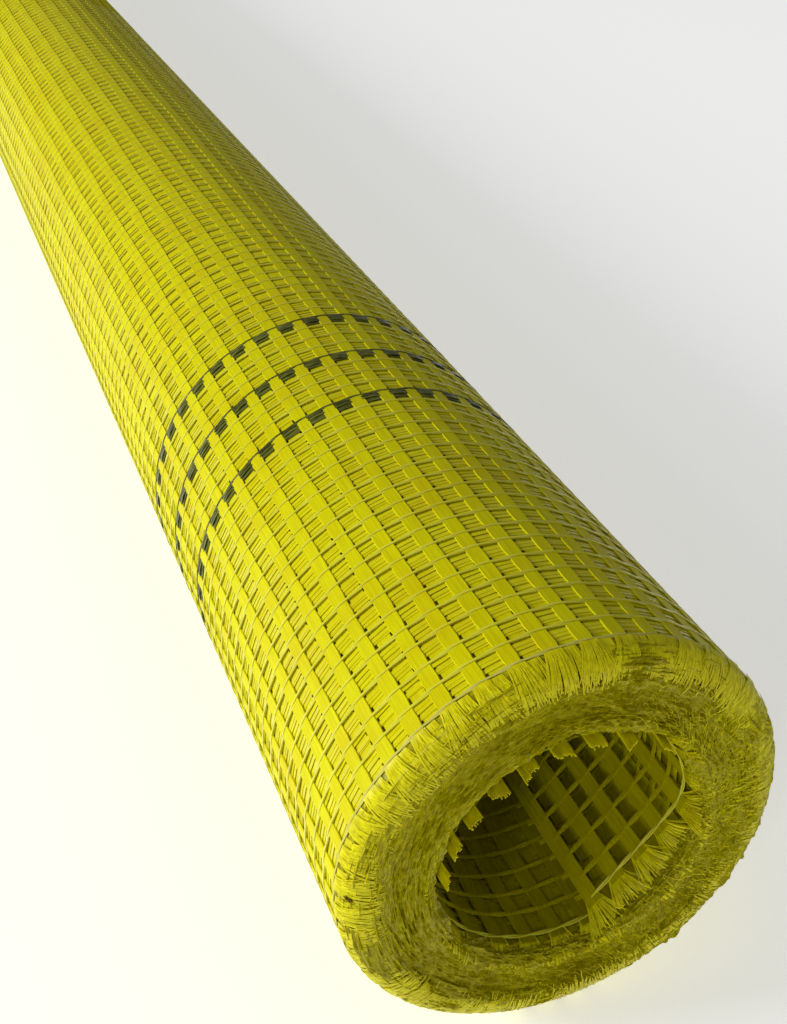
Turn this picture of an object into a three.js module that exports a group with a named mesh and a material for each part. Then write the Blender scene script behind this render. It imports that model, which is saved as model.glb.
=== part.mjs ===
// Roll of coated glass-fibre mesh, wound on itself with no core tube.
// Units are millimetres, +Z is up. The roll lies along X on the plane z = 0,
// with the origin below its middle.

import * as THREE from 'three';

// The web, whose width is the length of the roll, cut ends included.
const WEB_WIDTH = 1000;

// The winding.
const OUTER_DIAMETER = 66;
const BORE_DIAMETER = 38;

// The turns as they show on each end: ridges of a few turns each, with a groove between them.
const TURN_RIDGES = 10;
const TURN_GROOVE_WIDTH = 0.5;
const TURN_GROOVE_DEPTH = 0.8;

// The cut ends bend in at the outer edge of each end, and a little at the bore.
const OUTER_EDGE_RADIUS = 4;
const BORE_EDGE_RADIUS = 1.5;

// Straight sides that stand for the round. An even number puts one of them flat underneath,
// and diameters are measured across the sides.
const SIDES_ROUND = 60;

const ROLL_COLOUR = '#d8d000';

// How far a quarter-round edge has dropped at a distance in from its side.
function edgeDrop(distance, radius) {
  const run = Math.max(radius - distance, 0);
  return radius - Math.sqrt(radius * radius - run * run);
}

// The end of the wound wall as [radius, drop] points from the outside in. Each ridge is flat
// on top, and its neighbours step down towards the outer edge and the bore.
function endOfWall(outerRadius, boreRadius) {
  const pitch = (outerRadius - boreRadius) / TURN_RIDGES;
  const groove = Math.min(TURN_GROOVE_WIDTH, pitch / 2);
  const points = [];
  for (let ridge = 0; ridge < TURN_RIDGES; ridge += 1) {
    const ridgeOuter = outerRadius - ridge * pitch;
    const ridgeInner = ridge === TURN_RIDGES - 1 ? boreRadius : ridgeOuter - pitch + groove;
    const middle = (ridgeOuter + ridgeInner) / 2;
    const drop = edgeDrop(outerRadius - middle, OUTER_EDGE_RADIUS)
      + edgeDrop(middle - boreRadius, BORE_EDGE_RADIUS);
    points.push([ridgeOuter, drop], [ridgeInner, drop]);
    if (ridge < TURN_RIDGES - 1) {
      points.push([ridgeInner - groove / 2, drop + TURN_GROOVE_DEPTH]);
    }
  }
  return points;
}

// The closed section of the wall, turned once round the roll's axis: up the outside,
// in across one end, down the bore and out across the other end.
function rollGeometry() {
  const halfWidth = WEB_WIDTH / 2;
  const cornerPerSide = 1 / Math.cos(Math.PI / SIDES_ROUND);
  const end = endOfWall(OUTER_DIAMETER / 2, BORE_DIAMETER / 2);
  const endPoint = (radius, along) => new THREE.Vector2(radius * cornerPerSide, along);
  const top = end.map(([radius, drop]) => endPoint(radius, halfWidth - drop));
  const bottom = end.map(([radius, drop]) => endPoint(radius, drop - halfWidth)).reverse();
  const section = [...top, ...bottom, top[0].clone()];
  return new THREE.LatheGeometry(section, SIDES_ROUND, Math.PI / SIDES_ROUND, 2 * Math.PI);
}

const meshRoll = new THREE.Mesh(
  rollGeometry(),
  new THREE.MeshStandardMaterial({ color: ROLL_COLOUR, roughness: 0.5, metalness: 0 }),
);
meshRoll.name = 'mesh_roll';

// The turned axis lies along X, and the lowest side rests on z = 0.
meshRoll.rotation.z = -Math.PI / 2;
meshRoll.position.z = OUTER_DIAMETER / 2;

const roll = new THREE.Group();
roll.add(meshRoll);

export default roll;
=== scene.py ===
"""Looks of a coreless roll of coated glass-fibre mesh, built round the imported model. Units are metres.

The web is a leno weave: flat weft strips lie along the roll, and pairs of thin warp yarns run round it,
twisted about each other half a turn for each weft, so that one yarn passes over the weft and the other
under it. A point of the web is given by its length along the web, its distance x along the roll and its
lift off the middle of the web. """

import bpy
import numpy as np
from mathutils import Matrix, Vector


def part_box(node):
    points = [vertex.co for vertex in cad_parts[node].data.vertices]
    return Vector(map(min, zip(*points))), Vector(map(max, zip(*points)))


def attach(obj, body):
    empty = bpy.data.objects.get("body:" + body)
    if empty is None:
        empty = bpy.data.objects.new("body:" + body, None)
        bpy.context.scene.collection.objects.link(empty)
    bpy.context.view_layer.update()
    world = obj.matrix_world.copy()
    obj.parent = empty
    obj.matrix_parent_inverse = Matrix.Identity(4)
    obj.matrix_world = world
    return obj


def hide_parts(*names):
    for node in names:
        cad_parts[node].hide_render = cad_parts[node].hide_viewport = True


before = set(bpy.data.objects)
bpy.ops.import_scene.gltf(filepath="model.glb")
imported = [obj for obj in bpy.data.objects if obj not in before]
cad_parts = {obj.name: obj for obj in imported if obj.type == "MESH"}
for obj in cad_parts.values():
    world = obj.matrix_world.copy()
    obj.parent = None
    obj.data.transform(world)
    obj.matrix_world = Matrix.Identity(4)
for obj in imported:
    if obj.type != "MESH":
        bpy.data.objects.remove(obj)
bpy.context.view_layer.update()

MM = 0.001
TURN_ANGLE = 2 * np.pi

# The roll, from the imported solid.
LOW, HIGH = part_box("mesh_roll")
OUTER_RADIUS = (HIGH.y - LOW.y) / 2
AXIS_HEIGHT = (HIGH.z + LOW.z) / 2
NEAR_END = HIGH.x
FAR_END = LOW.x

# The web: a warp pair every 4 mm across its width, and a weft strip every 4.87 mm of its length.
WARP_PITCH_WANTED = 4.0 * MM
WEFT_PITCH = 4.87 * MM
WEFT_WIDTH = 2.35 * MM
WEFT_THICKNESS = 0.22 * MM
YARN_WIDTH = 0.37 * MM
YARN_THICKNESS = 0.18 * MM

# The two yarns of a pair change sides in each opening. The whole pair lies a little to the side the web is
# seen from, because its tension sinks the covered yarn into the weft.
TWIST_LIFT = 0.10 * MM
TWIST_SIDE = 0.18 * MM
TWIST_START = 0.2 * WEFT_PITCH
PAIR_RISE = 0.08 * MM

# The winding: each turn adds 0.45 mm to the radius, because the turns nest into each other.
TURN = 0.45 * MM
BORE_RADIUS = 19.0 * MM
WEB_RADIUS = OUTER_RADIUS - PAIR_RISE - TWIST_LIFT - YARN_THICKNESS / 2
OUTER_EDGE_ANGLE = np.radians(-75)

# The covered turns nest into the openings of the outermost one, which raises them, and slip a little along
# it. Their warp yarns are pressed flat and bulge out into the openings, most of all halfway between two
# wefts.
NEST_RISE = 0.12 * MM
NEST_SLIP = 0.9 * MM
PRESSED_THICKNESS = 0.10 * MM
BULGE = 0.26 * MM
BULGE_WAVE = 0.03 * MM

# The cut ends of the wefts stand out past the last warp thread.
FRINGE = 4.0 * MM
NEAR_EDGE = NEAR_END - FRINGE
FAR_EDGE = FAR_END + FRINGE
WARPS = round((NEAR_EDGE - FAR_EDGE) / WARP_PITCH_WANTED) + 1
WARP_PITCH = (NEAR_EDGE - FAR_EDGE) / (WARPS - 1)

# Three tracer threads, counted in warps from the near edge.
TRACERS = (18, 22, 26)

# The loose start of the web: a flat stretch across the bore that meets the wall at both ends.
START_ANGLE = np.radians(-68.8)
CHORD_ANGLE = np.radians(-42)
CHORD_DISTANCE = 0.446 * OUTER_RADIUS
LOOSE_LENGTH = 0.36 * TURN_ANGLE * BORE_RADIUS

# Length of the web that is made as the lining of the bore, the loose start included.
LINING_LENGTH = 2.2 * TURN_ANGLE * BORE_RADIUS

# The matted ends: the rounded outer edge, the dish of the face between its rims, and the rim of the bore.
MAT_OUTER = WEB_RADIUS - 0.25 * MM
MAT_INNER = BORE_RADIUS + 0.9 * MM
EDGE_ALONG = 3.2 * MM
EDGE_ACROSS = 4.8 * MM
FACE_SETBACK = 0.4 * MM
DISH = 0.9 * MM
RIM_ROUNDING = 1.4 * MM
RIM_DEPTH = 3.0 * MM

# The fans of weft ends over the outer edge: how far they reach and how much wider they get.
FAN_REACH = 5.6 * MM
FAN_SPREAD = 2.8 * MM

# The warp pairs of the bore lie towards the axis.
BORE_RISE = -0.18 * MM

# Depth of the hidden turns, made as one body, below the outermost web.
BODY_DEPTH = 3.4 * TURN + 0.2 * MM

# Warps from the near end at which the detail gets coarser.
CLOSE_WARPS = 30
MIDDLE_WARPS = 100


def winding(length):
    """Radius and angle of the web at a length from its outer edge. A turn takes TURN off the radius, so the
    area between two radii is the length between them times TURN, and the angle grows with the radius
    lost."""
    radius = np.sqrt(WEB_RADIUS ** 2 - TURN * length / np.pi)
    return radius, OUTER_EDGE_ANGLE - (WEB_RADIUS - radius) * TURN_ANGLE / TURN


def turn_length(turns):
    """Length of web in that many outer turns, the inverse of winding."""
    inner = WEB_RADIUS - turns * TURN
    return (WEB_RADIUS ** 2 - inner ** 2) * np.pi / TURN


def start_radius(angle):
    """Radius of the inmost web at an angle. The wall is a spiral, the loose start is a chord whose radius
    is its distance over the cosine, and the smaller of the two is taken smoothly by a power sum of their
    inverses."""
    wall = BORE_RADIUS + PAIR_RISE + TWIST_LIFT + TURN * (angle - START_ANGLE) / TURN_ANGLE
    facing = np.where(angle < START_ANGLE + np.pi, np.cos(angle - CHORD_ANGLE), 0)
    chord = np.clip(facing, 0, 1) / CHORD_DISTANCE
    sharpness = 14
    return (chord ** sharpness + wall ** -sharpness) ** (-1 / sharpness)


def start_winding(length):
    """Radius and angle of the inmost web at a length from its free edge, found by adding up the arc of
    start_radius in fine steps."""
    angles = START_ANGLE + np.linspace(-0.2, 2.6 * TURN_ANGLE, 4000)
    radii = start_radius(angles)
    steps = np.hypot(np.diff(radii), radii[1:] * np.diff(angles))
    lengths = np.concatenate([[0], np.cumsum(steps)])
    angle = np.interp(length + np.interp(START_ANGLE, angles, lengths), lengths, angles)
    return start_radius(angle), angle


def place(x, radius, angle):
    """Points in the frame: x along the roll, and the radius turned by the angle from +Y towards +Z."""
    parts = np.broadcast_arrays(x, radius * np.cos(angle), AXIS_HEIGHT + radius * np.sin(angle))
    return np.stack(parts, axis=-1)


def section(corners, width, thickness, squareness=0.7):
    """Corners of a flat section: an ellipse squared off by taking a power of its cosine. Six corners give a
    flat top and bottom between two pointed sides, other counts start half a step round."""
    start = 0 if corners == 6 else 0.5
    turn = (np.arange(corners) + start) * TURN_ANGLE / corners
    across = np.sign(np.cos(turn)) * np.abs(np.cos(turn)) ** squareness
    across, up = across / np.abs(across).max(), np.sin(turn) / np.abs(np.sin(turn)).max()
    return across * width / 2, up * thickness / 2


def drift(rng, count, along, amount, wave):
    """Slow wander of each strand: three sines of its length with random phases and waves near the one
    given."""
    phases = rng.uniform(0, TURN_ANGLE, (3, count, 1))
    waves = wave * rng.uniform(0.6, 1.8, (3, count, 1))
    return amount * np.sin(along * TURN_ANGLE / waves + phases).sum(axis=0) / 2


def solid(name, points, faces, material, crease, flow=None):
    """A smooth piece of the roll, creased along edges sharper than the angle given, from its points and its
    faces, which are arrays of rows of equal length. flow gives each point its place along and across the
    fibres."""
    mesh = bpy.data.meshes.new(name)
    points = np.asarray(points, dtype=np.float32).reshape(-1, 3)
    corners = np.concatenate([rows.ravel() for rows in faces]).astype(np.int32)
    sizes = np.concatenate([np.full(len(rows), rows.shape[1]) for rows in faces])
    starts = np.concatenate([[0], np.cumsum(sizes)[:-1]]).astype(np.int32)
    mesh.vertices.add(len(points))
    mesh.vertices.foreach_set("co", points.ravel())
    mesh.loops.add(len(corners))
    mesh.loops.foreach_set("vertex_index", corners)
    mesh.polygons.add(len(starts))
    mesh.polygons.foreach_set("loop_start", starts)
    mesh.update(calc_edges=True)
    mesh.shade_smooth()
    mesh.set_sharp_from_angle(angle=np.radians(crease))
    mesh.materials.append(material)
    if flow is not None:
        attribute = mesh.attributes.new("flow", "FLOAT_VECTOR", "POINT")
        attribute.data.foreach_set("vector", flow.astype(np.float32).ravel())
    piece = bpy.data.objects.new(name, mesh)
    bpy.context.scene.collection.objects.link(piece)
    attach(piece, "root")
    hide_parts("mesh_roll")


def turned_in(points, faces):
    """Whether the faces look inwards: the sum of the corner products of their fans is six times the
    volume."""
    product = 0
    for rows in faces:
        a = points[rows[:, 0]]
        for corner in range(1, rows.shape[1] - 1):
            b, c = points[rows[:, corner]], points[rows[:, corner + 1]]
            product += np.einsum("ij,ij->", a, np.cross(b, c))
    return product < 0


def strands(name, grid, material, crease=70):
    """Many like strands in one mesh. grid[s, i, c] is corner c of strand s at station i. The skin of a
    strand joins each ring of corners to the next, and one flat face closes each of its ends."""
    count, stations, corners, _ = grid.shape
    number = np.arange(count * stations * corners).reshape(count, stations, corners)
    here, ahead = number[:, :-1], number[:, 1:]
    skin = np.stack([here, np.roll(here, -1, 2), np.roll(ahead, -1, 2), ahead], axis=-1).reshape(-1, 4)
    caps = np.concatenate([number[:, 0, ::-1], number[:, -1]])
    points = grid.reshape(-1, 3)
    first_strand = [skin[: (stations - 1) * corners], caps[[0, count]]]
    faces = [skin, caps]
    if turned_in(points - points[0], first_strand):
        faces = [rows[:, ::-1] for rows in faces]
    solid(name, points, faces, material, crease)


def weft_grid(rng, path, lengths, xs, corners, wander=0.10 * MM, pinch=0.0):
    """Weft strips along the roll. A strip has a flat section that follows the web, narrowed by pinch where
    a warp pair binds it, shifted sideways by a slow drift, and a little wavy in height."""
    across, up = section(corners, WEFT_WIDTH, WEFT_THICKNESS, 0.12)
    bound = np.cos(np.pi * (xs - NEAR_EDGE) / WARP_PITCH) ** 2
    shift = drift(rng, len(lengths), xs, wander, 60 * MM)
    breadth = 1 + drift(rng, len(lengths), xs, 0.06, 25 * MM) - pinch * bound
    side = shift[..., None] + across * breadth[..., None]
    radius, angle = path(lengths[:, None, None] + side)
    return place(xs[None, :, None], radius + up * (1 + pinch * bound[:, None]), angle)


def pair_grid(rng, path, warps, lengths, corners, rise=PAIR_RISE):
    """Twisted warp pairs round the roll. Along the web the two yarns of a pair turn about each other half a
    turn for each weft: lift is a cosine and sideways shift a sine of the weft count, with opposite signs.
    The whole pair is lifted by rise, towards the side that it is seen from."""
    radius, angle = path(lengths)
    across, up = section(corners, YARN_WIDTH, YARN_THICKNESS)
    twist = np.pi * (lengths - TWIST_START) / WEFT_PITCH
    sign = np.array([1.0, -1.0])[:, None, None]
    x = NEAR_EDGE - warps * WARP_PITCH + rng.normal(0, 0.10 * MM, len(warps))
    wander = x[:, None] + drift(rng, len(warps), lengths, 0.10 * MM, 70 * MM)
    side = wander[None] + sign * TWIST_SIDE * np.sin(twist)
    lift = np.broadcast_to(rise + sign * TWIST_LIFT * np.cos(twist), side.shape)
    side = side.reshape(-1, len(lengths), 1) + across
    lift = lift.reshape(-1, len(lengths), 1) + up
    return place(side, radius[:, None] + lift, angle[:, None])


def band_grid(rng, path, warps, lengths, corners, aside, lift, wave, width, thickness=YARN_THICKNESS):
    """Warp yarns of a covered turn, pressed flat and moved aside towards the near end. A cosine of the weft
    count with the height of the wave lifts them over the wefts, or between the wefts where the wave is
    negative."""
    radius, angle = path(lengths)
    across, up = section(corners, width, thickness)
    x = NEAR_EDGE - warps * WARP_PITCH + aside + rng.normal(0, 0.12 * MM, len(warps))
    wander = x[:, None] + drift(rng, len(warps), lengths, 0.15 * MM, 50 * MM)
    height = radius + lift + wave * np.cos(TURN_ANGLE * lengths / WEFT_PITCH)
    return place(wander[..., None] + across, height[:, None] + up, angle[:, None])


def wefts_between(start, end):
    """Lengths along the web of the wefts between two lengths, at whole numbers of the weft pitch."""
    return np.arange(np.ceil(start / WEFT_PITCH), np.floor(end / WEFT_PITCH) + 1) * WEFT_PITCH


def stations(start, end, per_weft):
    """Stations along the web, so many for each weft, so that the twist is met at the same phases all
    along."""
    step = WEFT_PITCH / per_weft
    return np.arange(np.floor(start / step), np.ceil(end / step) + 1) * step


def warp_stations(first, last, per_warp):
    """Distances x along the roll from one warp to another, so many for each warp pitch."""
    count = round((last - first) * per_warp) + 1
    return NEAR_EDGE - np.linspace(first, last, count) * WARP_PITCH


def plain_warps(first, last):
    """Numbers of the warps from one to another, tracers left out."""
    warps = np.arange(first, last)
    return warps[~np.isin(warps, TRACERS)]


def outer_turn():
    """The outermost turn: weft strips and twisted warp pairs, in three zones of detail along the roll, and
    the tracers, whose loose strands bulge out between the wefts."""
    end = turn_length(1)
    wefts = wefts_between(WEFT_PITCH / 2, end + WEFT_PITCH)
    # First and last warp, stations and corners of the wefts, and stations and corners of the yarns. The
    # stations are counted for each warp and for each weft.
    zones = (
        ("close", 0, CLOSE_WARPS, 3, 6, 4, 4),
        ("middle", CLOSE_WARPS, MIDDLE_WARPS, 2, 4, 2, 4),
        ("far", MIDDLE_WARPS, WARPS - 1, 0.5, 4, 2, 3),
    )
    for zone, first, last, per_warp, weft_corners, per_weft, yarn_corners in zones:
        rng = np.random.default_rng(11)
        start = first - 0.25 if first == 0 else first
        xs = warp_stations(start, last + 0.25 if zone == "far" else last, per_warp)
        strips = weft_grid(rng, winding, wefts, xs, weft_corners, pinch=0.10 if per_warp > 1 else 0.0)
        strands(f"outer_wefts_{zone}", strips, COATED_WEFT, crease=25)
        rng = np.random.default_rng(12 + first)
        warps, along = plain_warps(max(first, 1), last), stations(0, end, per_weft)
        if zone == "far":
            pairs = band_grid(rng, winding, warps, along, yarn_corners, 0.0, 0.17 * MM, 0.06 * MM, 0.75 * MM)
        else:
            pairs = pair_grid(rng, winding, warps, along, yarn_corners)
        strands(f"outer_warp_pairs_{zone}", pairs, BINDING_YARN)
    rng = np.random.default_rng(17)
    tracers = pair_grid(rng, winding, np.array(TRACERS), stations(0, end, 5), 6)
    strands("tracer_pairs", tracers, TRACER_YARN)
    loose = [band_grid(rng, winding, np.array(TRACERS), stations(0, end, 6), 4, aside * MM,
                       0.07 * MM, -0.12 * MM, 0.46 * MM) for aside in (0.50, 1.00, 1.50)]
    strands("loose_tracer_strands", np.concatenate(loose), TRACER_YARN)


def covered_winding(length):
    """The winding of the covered turns, raised because they nest into the openings of the outermost one,
    and slipped a little along it."""
    radius, angle = winding(length)
    return radius + NEST_RISE, angle - NEST_SLIP / radius


def covered_turns():
    """The turns that show through the openings of the outermost one: weft strips, and warp yarns beside the
    pair above them. Three yarns lie next to each other near the cut end, and one flat band stands for them
    farther off. They bulge out into the openings, so that a narrow slot is left beside the pair above
    them."""
    rng = np.random.default_rng(21)
    wefts = wefts_between(turn_length(1), turn_length(4))
    xs = warp_stations(-0.2, WARPS - 0.8, 0.1)
    strips = weft_grid(rng, covered_winding, wefts, xs, 4, wander=0.15 * MM)
    strands("covered_wefts", strips, COATED_WEFT, crease=25)
    reach = turn_length(1), turn_length(2)
    # Stations for each weft, width of a yarn, and each yarn's place beside the pair and depth, in
    # millimetres.
    for zone, first, last, per_weft, width, yarns, material in (
        ("close", 1, CLOSE_WARPS, 3, 0.96 * MM, ((1.02, 0.0), (1.78, 0.03), (2.52, 0.10)), COVERED_YARN),
        ("middle", CLOSE_WARPS, MIDDLE_WARPS, 2, 2.9 * MM, ((1.95, 0.0),), COVERED_BAND),
        ("far", MIDDLE_WARPS, WARPS, 1, 2.9 * MM, ((1.95, 0.0),), COVERED_BAND),
    ):
        rng = np.random.default_rng(100 + first)
        along = stations(*reach, per_weft)
        warps = plain_warps(first, last)
        bands = [band_grid(rng, covered_winding, warps, along, 3, aside * MM, BULGE - sunk * MM, -BULGE_WAVE,
                           width, PRESSED_THICKNESS) for aside, sunk in yarns]
        strands(f"covered_warps_{zone}", np.concatenate(bands), material)
    rng = np.random.default_rng(500)
    bands = band_grid(rng, covered_winding, np.array(TRACERS), stations(*reach, 4), 4, 1.35 * MM,
                      BULGE, -BULGE_WAVE, 2.3 * MM)
    strands("covered_tracers", bands, TRACER_YARN)


def edge_threads():
    """The pale thread along each cut edge of the outermost turn: two plies laid flat beside each other."""
    rng = np.random.default_rng(31)
    along = stations(0, turn_length(1), 4)
    for name, warps in (("near_edge_thread", np.array([0.0])), ("far_edge_thread", np.array([WARPS - 1.0]))):
        strands(name, pair_grid(rng, winding, warps, along, 6), EDGE_YARN)


def cut_end(rng, path, lengths, end_x, outwards, blade_count, steps,
            reach, spread, bend, tip, loose, ragged):
    """Frayed ends of wefts. Each weft spreads into a fan of flat blades side by side. A blade starts at its
    place across the weft, reaches out along the roll, and moves aside in proportion to that place, to a
    share of the whole fan and to a small share of its own. It bends off or towards the axis with the square
    of its length. The fan is cut at a slant. tip is the share of its breadth that a blade keeps, loose the
    share of the random shifts, and ragged the spread of the blades' lengths."""
    count = len(lengths)
    fan = rng.normal(0, 1, (4, count, 1))
    own = rng.normal(0, 1, (4, count, blade_count))
    across = np.linspace(-0.5, 0.5, blade_count) + loose * own[0] * 0.3 / blade_count
    radius, angle = path(lengths[:, None] + across * WEFT_WIDTH)
    length = reach * (1 + 0.07 * fan[0] + 0.25 * fan[3] * across + ragged * own[1])
    lean = across * spread + loose * (0.30 * MM * fan[1] + 0.22 * MM * own[2])
    out = bend + loose * (0.25 * MM * fan[2] + 0.12 * MM * own[3])
    depth = rng.normal(0, loose * WEFT_THICKNESS / 4, (count, blade_count))
    t = np.linspace(0, 1, steps + 1)
    x = end_x + outwards * length[..., None] * t
    side = lean[..., None] * t ** 1.3
    height = (radius + depth)[..., None] + out[..., None] * t ** 2
    breadth = (WEFT_WIDTH + spread * t) / blade_count * 1.9 * (1 - (1 - tip) * t ** 2)
    roll = rng.normal(0, 0.35 * loose, (count, blade_count, 1, 1))
    wide = breadth[:, None] / 2 * np.array([-1, 1, 0])
    thick = 0.07 * MM * np.array([-1, -1, 2])
    around = side[..., None] + wide * np.cos(roll) - thick * np.sin(roll)
    up = height[..., None] + wide * np.sin(roll) + thick * np.cos(roll)
    grid = place(x[..., None], up, angle[..., None, None] + around / radius[..., None, None])
    return grid.reshape(count * blade_count, steps + 1, 3, 3)


def end_section():
    """Section of a matted end from its outer surface to the bore: distances along it, and the depth behind
    the end and the radius at each. A straight start lies under the edge thread. A quarter ellipse rounds
    the outer edge, a half wave of a sine dishes the face, a quarter circle rounds the rim, and a straight
    run goes into the bore."""
    turn = np.linspace(0, np.pi / 2, 30)
    face = np.linspace(MAT_OUTER - EDGE_ACROSS, MAT_INNER + RIM_ROUNDING, 40)
    share = (face - face[-1]) / (face[0] - face[-1])
    depth = np.concatenate([[FRINGE - 0.4 * MM], FACE_SETBACK + EDGE_ALONG * (1 - np.sin(turn)),
                            FACE_SETBACK + DISH * np.sin(np.pi * share[1:]),
                            FACE_SETBACK + RIM_ROUNDING * (1 - np.cos(turn[1:])),
                            [FACE_SETBACK + RIM_ROUNDING + RIM_DEPTH]])
    radius = np.concatenate([[MAT_OUTER], MAT_OUTER - EDGE_ACROSS * (1 - np.cos(turn)), face[1:],
                             MAT_INNER + RIM_ROUNDING * (1 - np.sin(turn[1:])), [MAT_INNER]])
    steps = np.hypot(np.diff(depth), np.diff(radius))
    return np.concatenate([[0], np.cumsum(steps)]), depth, radius


def on_end(distance, lift):
    """Depth and radius at a distance along the section of a matted end, lifted off it along its normal. The
    normal is the tangent, taken between points a little before and after, turned by a right angle."""
    distances, depth, radius = end_section()
    near = 0.3 * MM
    ahead = np.interp(distance + near, distances, depth), np.interp(distance + near, distances, radius)
    behind = np.interp(distance - near, distances, depth), np.interp(distance - near, distances, radius)
    tangent = np.array([ahead[0] - behind[0], ahead[1] - behind[1]])
    tangent = tangent / np.hypot(*tangent)
    here = np.interp(distance, distances, depth), np.interp(distance, distances, radius)
    return here[0] + lift * tangent[1], here[1] - lift * tangent[0]


def smoothed(noise, width):
    """Noise smeared along its last axis by a bell curve of so many samples, and scaled back to a spread of
    one."""
    waves = np.fft.rfftfreq(noise.shape[-1])
    smeared = np.fft.irfft(np.fft.rfft(noise) * np.exp(-2 * (np.pi * width * waves) ** 2), noise.shape[-1])
    return smeared / smeared.std()


def crushing(angle):
    """How far the fibres of an end are crushed, from 0 on the left to 1 on the right of the near end."""
    return 0.5 + 0.5 * np.cos(angle + 0.3)


def end_flow(distance, angle):
    """Place along and across the fibres of an end. They run round the roll on the left and at a slant on
    the right: the slant is an angle that grows with the crushing, and its cosine and sine are added up
    round the roll."""
    slant = 0.9 * crushing(angle)
    step = (angle[1] - angle[0]) * (MAT_OUTER + MAT_INNER) / 2
    along = np.cumsum(np.cos(slant)) * step + distance * np.sin(slant)
    across = distance * np.cos(slant) - np.cumsum(np.sin(slant)) * step
    return np.stack([along, across, np.zeros_like(along)], axis=-1)


def matted_end(name, end_x, outwards, rows, columns):
    """The cut ends of all turns as one matted skin over an end, closed behind. Its relief follows the
    spiral of the web: each turn is a ridge, each weft end on it stands at its own height, and streaks of
    filaments run round the roll. On the right-hand side, where the ends are crushed, coarser grains take
    over from the streaks. All of it fades out under the edge thread."""
    rng = np.random.default_rng(43)
    distances = end_section()[0]
    distance = np.linspace(0, distances[-1], rows)[:, None]
    angle = OUTER_EDGE_ANGLE + np.linspace(0, TURN_ANGLE, columns + 1)[:-1]
    flat_radius = on_end(distance, 0.0)[1]
    turns = (WEB_RADIUS - flat_radius) / TURN + (angle - OUTER_EDGE_ANGLE) / TURN_ANGLE
    layer = np.round(turns)
    layer_radius = WEB_RADIUS - (layer - (angle - OUTER_EDGE_ANGLE) / TURN_ANGLE) * TURN
    weft = (WEB_RADIUS ** 2 - layer_radius ** 2) * np.pi / TURN / WEFT_PITCH
    heights = rng.normal(0, 1, int(weft.max()) + 3)
    ridge = np.cos(np.pi * (turns - layer))
    streaks = smoothed(rng.normal(0, 1, (rows, columns)), 3.0)
    grains = smoothed(rng.normal(0, 1, (rows, columns)), 0.7)
    slow = smoothed(rng.normal(0, 1, (1, columns)), columns / 60)
    crushed = crushing(angle)
    weft_ends = 0.22 * MM * np.sin(np.pi * (weft % 1)) * ridge * heights[weft.astype(int)]
    relief = weft_ends + 0.16 * MM * ridge
    relief = relief + (0.18 - 0.06 * crushed) * MM * streaks + (0.05 + 0.11 * crushed) * MM * grains
    fade = np.clip(distance / (2.5 * MM), 0.15, 1)
    depth, radius = on_end(distance, relief * fade + 0.15 * MM * slow * fade)
    behind = np.full((1, columns), FRINGE + 1 * MM)
    depth = np.concatenate([behind, depth, behind])
    radius = np.concatenate([radius[:1] - 0.5 * MM, radius, radius[-1:] + 0.5 * MM])
    points = place(end_x - outwards * depth, radius, angle)
    number = np.arange(points.shape[0] * columns).reshape(-1, columns)
    inward, turned = np.roll(number, -1, 0), np.roll(number, -1, 1)
    faces = np.stack([number, inward, np.roll(inward, -1, 1), turned], axis=-1).reshape(-1, 4)
    points = points.reshape(-1, 3)
    if turned_in(points, [faces]):
        faces = faces[:, ::-1]
    flow = end_flow(np.concatenate([distance[:1], distance, distance[-1:]]), angle)
    solid(name, points, [faces], MATTED_FIBRE, 80, flow)


def blades(distance, lift, angle, width, ridge):
    """Thin three-sided strands over a matted end. Each row of distance, lift and angle is the path of one
    strand, and width holds its breadth at each station. It lies flat on the end, and ridge is its thickness
    over its width."""
    corners = np.array([-1, 1, 0]) / 2
    rise = ridge * width[..., None] * np.array([0, 0, 1])
    depth, radius = on_end(distance[..., None], lift[..., None] + rise)
    return depth, radius, angle[..., None] + corners * width[..., None] / radius


def edge_fans(name, end_x, outwards, blade_count, steps):
    """The weft ends of the two outermost turns, spread into fans that lie over the rounded edge of the end.
    The fans of the outer one start higher, at the level of its wefts, and sink with the root of what is
    left of their length."""
    rng = np.random.default_rng(45)
    lengths = wefts_between(WEFT_PITCH / 2, turn_length(2))
    angle = winding(lengths)[1][:, None]
    count = len(lengths)
    fan = rng.normal(0, 1, (3, count, 1))
    own = rng.normal(0, 1, (4, count, blade_count))
    t = np.linspace(0, 1, steps + 1)
    across = np.linspace(-0.5, 0.5, blade_count) + 0.02 * own[0]
    reach = (FAN_REACH + 0.5 * MM * fan[0] + 0.7 * MM * own[1])[..., None]
    spread = (across * FAN_SPREAD + 0.30 * MM * fan[1] + 0.22 * MM * own[2])[..., None]
    covered = (np.arange(count) >= count / 2)[:, None, None]
    distance = reach * t
    lift = 0.20 * MM + 0.06 * MM * own[3][..., None] * t + 0.18 * MM * ~covered * (1 - t) ** 0.5
    side = across[..., None] * WEFT_WIDTH + spread * t ** 1.2
    width = (WEFT_WIDTH + 2.4 * MM * t) / blade_count * 2.0 * (1 - 0.5 * t ** 3) * np.ones_like(side)
    parts = blades(distance, lift, angle[..., None] + side / MAT_OUTER, width, 0.14)
    grid = place(end_x - outwards * parts[0], parts[1], parts[2])
    strands(name, grid.reshape(count * blade_count, steps + 1, 3, 3), CUT_FIBRE)


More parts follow.
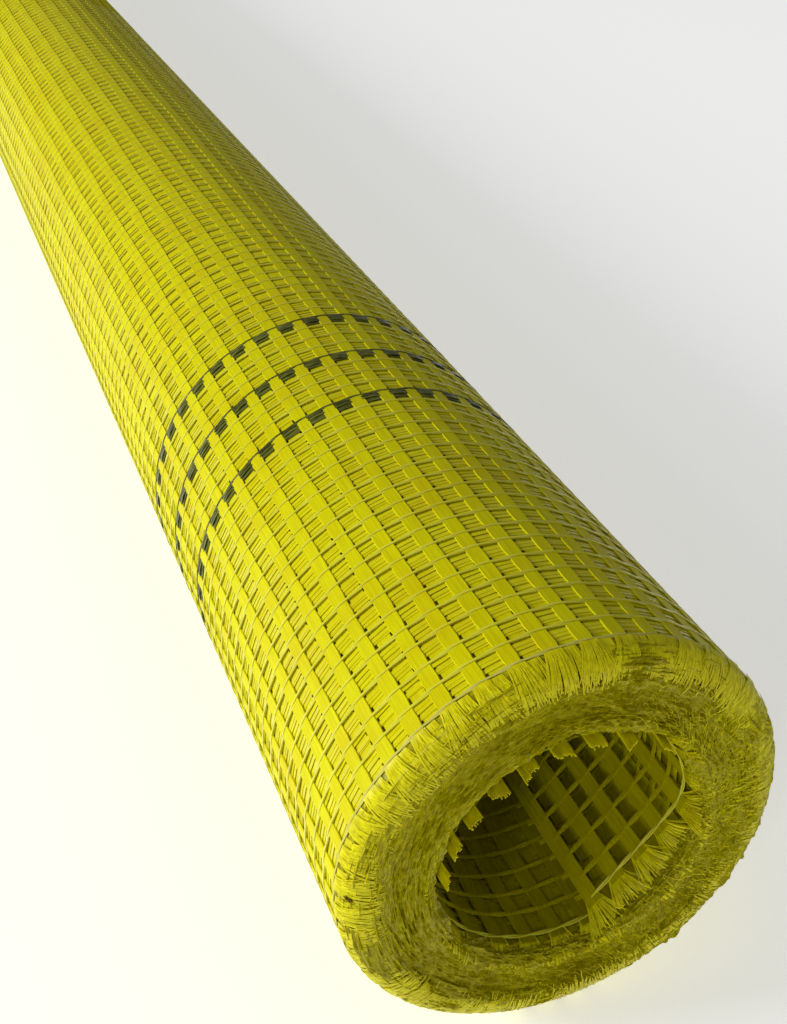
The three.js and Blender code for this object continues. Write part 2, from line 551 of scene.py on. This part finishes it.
def loose_filaments(name, end_x, outwards, count):
    """Single filaments that lie on the matted end. They run round the roll on the left and across it on the
    right, and their middles are raised a little."""
    rng = np.random.default_rng(47)
    total = end_section()[0][-1]
    start = rng.uniform(1.5 * MM, total - 4 * MM, (count, 1))
    angle = rng.uniform(-np.pi, np.pi, (count, 1))
    heading = rng.normal(0, 0.16, (count, 1)) - crushing(angle) ** 2 * rng.normal(0.9, 0.5, (count, 1))
    length = rng.uniform(0.8, 2.8, (count, 1)) * MM
    t = np.linspace(-0.5, 0.5, 3)
    bow = rng.normal(0, 0.12 * MM, (count, 1)) * (1 - 4 * t ** 2)
    distance = start + length * np.sin(heading) * t + bow
    lift = 0.12 * MM + (rng.uniform(0.05, 0.35, (count, 1)) * MM) * (1 - 3 * t ** 2)
    width = np.full((count, 3), 0.10 * MM) * rng.uniform(0.6, 1.4, (count, 1))
    middle_radius = on_end(start, 0.0)[1]
    parts = blades(distance, lift, angle + length * np.cos(heading) * t / middle_radius, width, 0.33)
    grid = place(end_x - outwards * parts[0], parts[1], parts[2])
    strands(name, grid, CUT_FIBRE)


def husk():
    """The brown speck of plant husk that is caught in the fringe on the left: two short blades crossed."""
    t = np.linspace(-0.5, 0.5, 4)
    turn = np.array([[0.5], [1.3]])
    distance = 2.3 * MM + 1.3 * MM * np.sin(turn) * t
    angle = np.radians(176) + 1.3 * MM * np.cos(turn) * t / MAT_OUTER
    width = 0.5 * MM * np.cos(np.pi * t * 0.8) * np.ones_like(distance)
    parts = blades(distance, 0.5 * MM - 0.5 * MM * t ** 2 + 0 * distance, angle, width, 0.33)
    strands("husk", place(NEAR_END - parts[0], parts[1], parts[2]), HUSK)


def end_faces():
    """Both ends of the winding: a matted skin, the fans of the outer weft ends, and loose filaments."""
    # Rows and columns of the skin, blades of a fan and steps along them, and filaments.
    for end, end_x, outwards, rows, columns, blade_count, steps, filaments in (
        ("near", NEAR_END, 1, 104, 520, 30, 4, 4200),
        ("far", FAR_END, -1, 52, 280, 10, 3, 900),
    ):
        matted_end(f"{end}_matted_end", end_x, outwards, rows, columns)
        edge_fans(f"{end}_edge_fans", end_x, outwards, blade_count, steps)
        loose_filaments(f"{end}_loose_filaments", end_x, outwards, filaments)
    husk()


def bore_lining():
    """The inmost turns seen from the bore: the loose start of the web, the wall behind it, its warp pairs
    and its cut ends. The warps are left out in the middle of the bore, deep in the dark."""
    end, loose = LINING_LENGTH, LOOSE_LENGTH
    rng = np.random.default_rng(51)
    xs = warp_stations(-0.3, WARPS - 0.7, 0.25)
    lining = wefts_between(loose + WEFT_PITCH / 2, end)
    turns = (start_winding(lining)[1] - START_ANGLE) / TURN_ANGLE
    # Wefts of the wall take the darker bore colour, which is painted shade; those behind the loose turn keep
    # the web's own colour.
    behind = (turns > 1.0) & (turns < 1.4)
    for name, wefts, material in (("loose_turn_wefts", wefts_between(0, loose), INNER_STRAND_PAINTED_SHADE),
                                  ("bore_wefts", lining[~behind], BORE_STRAND_PAINTED_SHADE),
                                  ("wefts_behind_loose_turn", lining[behind], COATED_WEFT)):
        strands(name, weft_grid(rng, start_winding, wefts, xs, 4), material, crease=25)
    loose_pairs = pair_grid(rng, start_winding, plain_warps(1, 30), stations(0, loose, 4), 4, rise=BORE_RISE)
    strands("loose_turn_warp_pairs", loose_pairs, INNER_STRAND_PAINTED_SHADE)
    along = stations(loose, end * 0.55, 2)
    wall_pairs = pair_grid(rng, start_winding, plain_warps(1, 40), along, 4, rise=BORE_RISE)
    strands("bore_warp_pairs", wall_pairs, INNER_STRAND_PAINTED_SHADE)
    far_warps = np.concatenate([plain_warps(40, 90), np.arange(WARPS - 50, WARPS)])
    along = stations(0, end * 0.5, 1)
    bands = band_grid(rng, start_winding, far_warps, along, 3, 0.0, -0.2 * MM, 0.0, 0.9 * MM)
    strands("bore_warps_far", bands, BORE_STRAND_PAINTED_SHADE)
    covered = end * 0.62
    warps = plain_warps(1, 50)
    for name, first, last, material in (("warps_behind_loose_turn", end * 0.45, covered, COVERED_YARN),
                                        ("bore_warps_behind", covered, end, BORE_STRAND_PAINTED_SHADE)):
        along = stations(first, last, 1)
        bands = band_grid(rng, start_winding, warps, along, 3, 0.8 * MM, -0.2 * MM, 0.0, 0.9 * MM)
        strands(name, bands, material)
    edge = pair_grid(rng, start_winding, np.array([0.0]), stations(0, end * 0.5, 4), 6, rise=BORE_RISE)
    strands("bore_edge_thread", edge, BINDING_YARN)
    bore_ends(rng)


def bore_ends(rng):
    """The cut ends of the inmost turns: the tufts of the loose turn, the square-cut weft ends that stand
    out past the rim from the upper right to the left, and the tufts on the rest of the rim."""
    tufts = cut_end(rng, start_winding, wefts_between(0, LOOSE_LENGTH), NEAR_EDGE - 0.3 * MM, 1, 60, 3,
                    3.8 * MM, 3.4 * MM, 1.6 * MM, tip=0.6, loose=0.6, ragged=0.14)
    strands("loose_turn_tufts", tufts, CUT_FIBRE)
    wall = wefts_between(LOOSE_LENGTH, LOOSE_LENGTH + TURN_ANGLE * BORE_RADIUS)
    place_round = np.degrees(start_winding(wall)[1]) % 360
    upper_left = (place_round > 45) & (place_round < 172)
    tabs = cut_end(rng, start_winding, wall[upper_left], NEAR_EDGE, 1, 20, 3,
                   4.7 * MM, 0.1 * MM, -0.3 * MM, tip=0.9, loose=0.1, ragged=0.06)
    strands("rim_tabs", tabs, CUT_FIBRE)
    rim = cut_end(rng, start_winding, wall[~upper_left], NEAR_EDGE, 1, 22, 4,
                  3.4 * MM, 2.4 * MM, 1.8 * MM, tip=0.6, loose=0.6, ragged=0.10)
    strands("rim_tufts", rim, CUT_FIBRE)


def wound_body():
    """The turns that stay hidden, as one turned solid. Its section is carried round the axis: a quarter
    circle rounds each outer edge of a rectangle that lies between the third turn and the bore lining, and
    is set back at both ends behind the cut fibres."""
    outer = WEB_RADIUS - BODY_DEPTH
    inner = BORE_RADIUS + 1.0 * MM
    setback, edge = 3.4 * MM, 2.5 * MM
    turn = np.linspace(0, np.pi / 2, 5)
    rounded = outer - edge + edge * np.cos(turn)
    rise = edge * np.sin(turn) - edge
    near, far = NEAR_END - setback, FAR_END + setback
    radius = np.concatenate([rounded, [inner, inner], rounded[::-1]])
    x = np.concatenate([near + rise, [near, far], far - rise[::-1]])
    around = np.linspace(0, TURN_ANGLE, 97)[:-1]
    points = place(x, radius, around[:, None])
    number = np.arange(points.shape[0] * points.shape[1]).reshape(points.shape[:2])
    turned, along = np.roll(number, -1, 0), np.roll(number, -1, 1)
    faces = np.stack([number, turned, np.roll(turned, -1, 1), along], axis=-1).reshape(-1, 4)
    points = points.reshape(-1, 3)
    if turned_in(points, [faces]):
        faces = faces[:, ::-1]
    solid("wound_body", points, [faces], WOUND_BODY_PAINTED_SHADE, 40)


def linear(hexcode):
    """Linear colour from an sRGB hex value."""
    value = np.array([int(hexcode[i:i + 2], 16) / 255 for i in (1, 3, 5)])
    return (*np.where(value <= 0.04045, value / 12.92, ((value + 0.055) / 1.055) ** 2.4), 1.0)


def add(tree, kind, feeds=None, **settings):
    """Adds a node, sets its properties, and feeds its inputs with values or with other nodes' outputs."""
    node = tree.nodes.new(kind)
    for key, value in settings.items():
        setattr(node, key, value)
    for key, value in (feeds or {}).items():
        if isinstance(value, bpy.types.NodeSocket):
            tree.links.new(value, node.inputs[key])
        else:
            node.inputs[key].default_value = value
    return node


# Size of the slow changes of tint across the web.
BLOTCH = 9 * MM


def fibres(name, dark, light, blotch, grain, roughness, coat, relief, flow=False):
    """A yarn or strip of parallel glass filaments under a coating. grain is the size of a bundle of
    filaments along X, Y and Z, or along and across the piece's flow: streaks of that size mix dark and
    light and raise the surface by relief, and slow blotches tint it."""
    material = bpy.data.materials.new(name)
    material.use_nodes = True
    tree = material.node_tree
    tree.nodes.clear()
    where = add(tree, "ShaderNodeTexCoord").outputs["Object"]
    run = add(tree, "ShaderNodeAttribute", attribute_name="flow").outputs["Vector"] if flow else where
    stretched = add(tree, "ShaderNodeMapping", {"Vector": run, "Scale": [1 / size for size in grain]})
    streak = add(tree, "ShaderNodeTexNoise", {"Vector": stretched.outputs[0], "Scale": 1.0, "Detail": 2.0})
    depth = add(tree, "ShaderNodeMapRange", {"Value": streak.outputs[0], "From Min": 0.3, "From Max": 0.7})
    colour = add(tree, "ShaderNodeMix", {0: depth.outputs[0], 6: linear(dark), 7: linear(light)},
                 data_type="RGBA")
    patches = add(tree, "ShaderNodeTexNoise", {"Vector": where, "Scale": 1 / BLOTCH, "Detail": 1.0})
    share = add(tree, "ShaderNodeMapRange",
                {"Value": patches.outputs[0], "From Min": 0.45, "From Max": 0.75, "To Max": 0.5})
    tinted = add(tree, "ShaderNodeMix", {0: share.outputs[0], 6: colour.outputs[2], 7: linear(blotch)},
                 data_type="RGBA")
    raised = add(tree, "ShaderNodeBump", {"Height": streak.outputs[0], "Distance": relief, "Strength": 0.6})
    shader = add(tree, "ShaderNodeBsdfPrincipled",
                 {"Base Color": tinted.outputs[2], "Roughness": roughness, "Specular IOR Level": 0.07,
                  "Coat Weight": coat, "Coat Roughness": 0.2, "Normal": raised.outputs[0]})
    add(tree, "ShaderNodeOutputMaterial", {"Surface": shader.outputs[0]})
    return material


# Flat weft rovings of E-glass in a flexible yellow coating: satin, with the filaments faintly showing
# through.
COATED_WEFT = fibres("coated_weft_roving", "#cfc800", "#e2de00", "#d2bd00",
                     (9 * MM, 0.28 * MM, 0.28 * MM), 0.5, 0.0, 0.05 * MM)

# Thin twisted warp yarns of the same glass, whose thinner coating leaves them paler and glossier.
BINDING_YARN = fibres("coated_warp_yarn", "#cfca18", "#e4e048", "#d2ca24",
                      (0.16 * MM, 4 * MM, 4 * MM), 0.30, 0.4, 0.04 * MM)

# Warps of the covered turns, wet with coating and pressed side by side.
COVERED_YARN = fibres("covered_warp_yarn", "#cec600", "#e8e200", "#d2bf00",
                      (0.22 * MM, 5 * MM, 5 * MM), 0.28, 0.4, 0.05 * MM)

# The same yarns farther off, where one band stands for all that lie in an opening.
COVERED_BAND = fibres("covered_warp_band", "#cec600", "#e6e000", "#d4c200",
                      (0.5 * MM, 5 * MM, 5 * MM), 0.45, 0.1, 0.03 * MM)

# Tracer yarns dyed dark green-black; the pale streaks mixed into their colour are painted glints.
TRACER_YARN = fibres("dyed_tracer_yarn", "#222606", "#8a8e3a", "#383c12",
                     (0.15 * MM, 2 * MM, 2 * MM), 0.3, 0.25, 0.04 * MM)

# The edge thread: a pale polyester selvage yarn with little coating on it.
EDGE_YARN = fibres("pale_edge_thread", "#c6be3c", "#dcd66c", "#c8c048",
                   (0.2 * MM, 1.6 * MM, 1.6 * MM), 0.5, 0.1, 0.04 * MM)

# Cut and frayed glass filaments, coloured by the coating that clings to them, with fine glints.
CUT_FIBRE = fibres("frayed_glass_filaments", "#cec600", "#f2ea10", "#d4c600",
                   (2.5 * MM, 0.7 * MM, 0.7 * MM), 0.36, 0.2, 0.03 * MM)

# The mass of cut filament tips under them, matt, in streaks that follow the fibres.
MATTED_FIBRE = fibres("matted_filament_tips", "#7c7400", "#cec604", "#948800",
                      (1.1 * MM, 0.14 * MM, 1 * MM), 0.40, 0.1, 0.10 * MM, flow=True)

# Strips and yarns on the wall of the bore: the web's own colour darkened as painted shade of the bore.
BORE_STRAND_PAINTED_SHADE = fibres("bore_strand_painted_shade", "#928b00", "#aaa200", "#908400",
                     (4 * MM, 0.3 * MM, 0.3 * MM), 0.55, 0.0, 0.04 * MM)

# The strips of the loose inner turn, painted a little darker than those outside as painted shade.
INNER_STRAND_PAINTED_SHADE = fibres("inner_strand_painted_shade", "#a8a200", "#c4bc00", "#aca000",
                      (6 * MM, 0.3 * MM, 0.3 * MM), 0.5, 0.0, 0.05 * MM)

# A dry speck of brown plant husk.
HUSK = fibres("brown_husk", "#4a3410", "#7a5a24", "#3c2a0c",
              (0.3 * MM, 0.3 * MM, 0.3 * MM), 0.7, 0.0, 0.03 * MM)

# The inside of the winding, which only shows through the openings of the mesh, darkened as painted shade.
WOUND_BODY_PAINTED_SHADE = fibres("wound_mesh_body_painted_shade", "#8f8800", "#c4bc00", "#958600",
                    (0.5 * MM, 3 * MM, 3 * MM), 0.45, 0.2, 0.2 * MM)

FLOOR_PAINT = bpy.data.materials.new("pale_floor")
FLOOR_PAINT.use_nodes = True
FLOOR_PAINT.node_tree.nodes["Principled BSDF"].inputs["Base Color"].default_value = linear("#fbfbfa")
FLOOR_PAINT.node_tree.nodes["Principled BSDF"].inputs["Roughness"].default_value = 0.8
FLOOR_PAINT.node_tree.nodes["Principled BSDF"].inputs["Emission Color"].default_value = (1, 1, 1, 1)
FLOOR_PAINT.node_tree.nodes["Principled BSDF"].inputs["Emission Strength"].default_value = 0.45


def floor():
    """A plain pale floor under the roll: one flat square, faintly lit from below like a light table."""
    half = 4.0
    mesh = bpy.data.meshes.new("floor")
    corners = [(-half, -half, 0), (half, -half, 0), (half, half, 0), (-half, half, 0)]
    mesh.from_pydata(corners, [], [(0, 1, 2, 3)])
    mesh.materials.append(FLOOR_PAINT)
    ground = bpy.data.objects.new("floor", mesh)
    bpy.context.scene.collection.objects.link(ground)


def soft_light(name, position, target, size, power):
    """A square area light at a position, turned towards a target."""
    light = bpy.data.lights.new(name, "AREA")
    light.size, light.energy = size, power
    lamp = bpy.data.objects.new(name, light)
    lamp.location = position
    lamp.rotation_euler = (Vector(target) - Vector(position)).to_track_quat("-Z", "Y").to_euler()
    bpy.context.scene.collection.objects.link(lamp)


def studio():
    """Soft key light from low on the left, a little behind the near end, a weaker one from the front left
    that reaches into the bore, and pale surroundings that fill the rest."""
    aim = Vector((NEAR_END - 0.12, 0, AXIS_HEIGHT))
    soft_light("key", aim + 2.4 * Vector((-0.22, -0.92, 0.32)), aim, 0.8, 44)
    soft_light("front", aim + 2.0 * Vector((0.66, -0.62, 0.42)), aim, 0.35, 5)
    world = bpy.data.worlds.new("surroundings")
    world.use_nodes = True
    world.node_tree.nodes["Background"].inputs["Color"].default_value = (1, 1, 1, 1)
    world.node_tree.nodes["Background"].inputs["Strength"].default_value = 0.20
    bpy.context.scene.world = world
    bpy.context.scene.view_settings.view_transform = "Standard"


# The photograph's camera, in units of the roll's outer radius from the middle of the near end. The middle
# of the end is where the edge of the cut fibres is, a little inside the longest of them.
FOCAL_PIXELS = 1353
PHOTO_HEIGHT_PIXELS = 1024
SENSOR = 36
CAMERA_FROM_END = (3.4104, -2.0784, 4.0908)
CAMERA_RIGHT = (0.3567, 0.9342, 0.0)
CAMERA_UP = (-0.4985, 0.1904, 0.8457)
END_SETBACK = 1.0 * MM


def camera():
    """The photograph's view: placed from the near end, with its right and up directions as matrix
    columns."""
    lens = bpy.data.cameras.new("camera")
    lens.sensor_width = SENSOR
    lens.lens = FOCAL_PIXELS / PHOTO_HEIGHT_PIXELS * SENSOR
    lens.clip_start = 0.005
    view = bpy.data.objects.new("camera", lens)
    right, up = Vector(CAMERA_RIGHT).normalized(), Vector(CAMERA_UP).normalized()
    turn = Matrix((right, up, right.cross(up))).transposed().to_4x4()
    end = Vector((NEAR_END - END_SETBACK, 0, AXIS_HEIGHT))
    view.matrix_world = Matrix.Translation(end + Vector(CAMERA_FROM_END) * OUTER_RADIUS) @ turn
    bpy.context.scene.collection.objects.link(view)
    bpy.context.scene.camera = view


camera()
outer_turn()
covered_turns()
edge_threads()
end_faces()
bore_lining()
wound_body()
floor()
studio()
